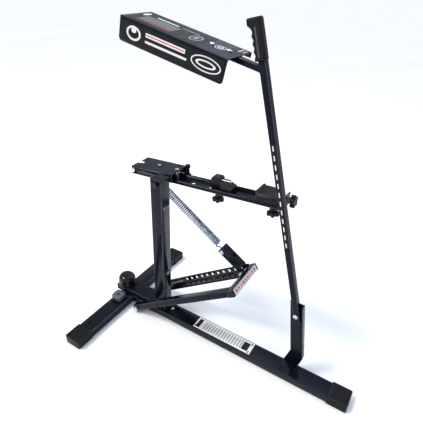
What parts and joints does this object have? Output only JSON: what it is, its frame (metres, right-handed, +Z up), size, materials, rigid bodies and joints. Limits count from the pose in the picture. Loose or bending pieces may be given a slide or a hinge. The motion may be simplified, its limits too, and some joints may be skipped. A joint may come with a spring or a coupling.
{
  "type": "baseball pitching machine",
  "caption": "Foot-driven ball thrower: a pedal pulls a spring that swings a throwing arm on a mast, with a ball pocket, floor tubes, a leaning pole with a hand grip and a bent shield plate.",
  "frame": {"origin": "centre of the bounding box, at floor level", "axes": "+Z up; +X along the long floor tube towards the operator's end; -X is where the ball leaves; -Y is the side with the pedal's plain tube, +Y the side of the throwing arm"},
  "size_m": [0.798, 0.53, 0.9054],
  "materials": {
    "paint": "gloss black paint",
    "zinc": "zinc plated",
    "rubber": "matte",
    "grip": "soft matte",
    "plastic": "satin",
    "pad": "satin"
  },
  "bodies": {
    "floor_frame": {"base_main_tube": "paint", "base_cross_tube": "paint", "cap_rear": "rubber", "cap_near": "rubber", "cap_far": "rubber", "tube_bolt": "zinc", "deck_channel": "paint", "deck_bumper": "rubber", "deck_pad": "pad", "mast": "paint", "mast_cap": "paint", "mast_bolt": "zinc", "axle_spacer": "zinc", "axle_bolt": "zinc", "axle_nut": "zinc", "pedal_pivot_bolt": "zinc", "pedal_pivot_nut": "zinc", "pedal_spacer_near": "zinc", "pedal_spacer_far": "zinc", "pole_bracket": "paint", "pole": "paint", "pole_grip": "grip", "pole_bolt": "zinc", "pole_nut": "zinc", "shield": "paint", "shield_bolt_rear": "zinc", "shield_bolt_front": "zinc", "shield_nut_rear": "zinc", "shield_nut_front": "zinc", "shield_stay": "paint"},
    "arm_group": {"hub_channel": "paint", "spring_pin_upper": "zinc", "arm_screw_front": "zinc", "arm_screw_rear": "zinc", "arm_sleeve_front": "zinc", "arm_sleeve_rear": "zinc", "hub_stop": "rubber", "throwing_arm": "paint", "arm_end_plate": "paint"},
    "release_group": {"release_block": "plastic", "prong_near": "zinc", "prong_far": "zinc", "ball_cradle": "plastic"},
    "release_knob_group": {"release_knob": "plastic"},
    "rear_group": {"rear_block": "plastic"},
    "rear_knob_group": {"rear_knob": "plastic"},
    "micro_group": {"micro_screw": "zinc", "micro_knob": "plastic"},
    "pedal_group": {"pedal_near_tube": "paint", "pedal_far_bar": "paint", "pedal_tread": "paint", "tread_plug_near": "plastic", "tread_plug_far": "plastic", "bracket_foot_pin": "zinc"},
    "link_group": {"spring_bracket": "paint", "spring_pin_lower": "zinc", "throw_spring": "zinc", "spring_hook_lower": "zinc", "spring_hook_upper": "zinc"}
  },
  "joints": [
    {"name": "pedal_press", "type": "hinge", "parent": "floor_frame", "child": "pedal_group", "pos_m": [-0.287, 0, 0.017], "axis": [0, 1, 0], "range_deg": [0, 28]},
    {"name": "arm_swing", "type": "hinge", "parent": "floor_frame", "child": "arm_group", "pos_m": [-0.216, 0.0605, 0.482], "axis": [0, -1, 0], "range_deg": [0, 95.96]},
    {"name": "spring_link_turn", "type": "hinge", "parent": "pedal_group", "child": "link_group", "pos_m": [0.03307, 0.0605, 0.25022], "axis": [0, -1, 0], "range_deg": [0, 15.71], "deforming": ["throw_spring", "spring_hook_lower", "spring_hook_upper"]},
    {"name": "release_slide", "type": "slide", "parent": "arm_group", "child": "release_group", "axis": [0.9971, 0, 0.0767], "range_m": [-0.01, 0.01]},
    {"name": "release_knob_turn", "type": "hinge", "parent": "release_group", "child": "release_knob_group", "pos_m": [-0.06813, 0.0605, 0.47633], "axis": [-0.0767, 0, 0.9971], "continuous": true},
    {"name": "micro_turn", "type": "hinge", "parent": "arm_group", "child": "micro_group", "pos_m": [0.13266, 0.0605, 0.51284], "axis": [0.9971, 0, 0.0767], "range_deg": [-720, 720]},
    {"name": "rear_slide", "type": "slide", "parent": "arm_group", "child": "rear_group", "axis": [0.9971, 0, 0.0767], "range_m": [-0.004, 0.004]},
    {"name": "rear_knob_turn", "type": "hinge", "parent": "rear_group", "child": "rear_knob_group", "pos_m": [0.0904, 0.0605, 0.48853], "axis": [-0.0767, 0, 0.9971], "continuous": true}
  ],
  "couplings": [
    {"joint": "arm_swing", "follows": "pedal_press", "ratio": 3.4271},
    {"joint": "spring_link_turn", "follows": "pedal_press", "ratio": 0.56107},
    {"joint": "micro_turn", "follows": "rear_slide", "rad_per_m": 3141.6}
  ]
}
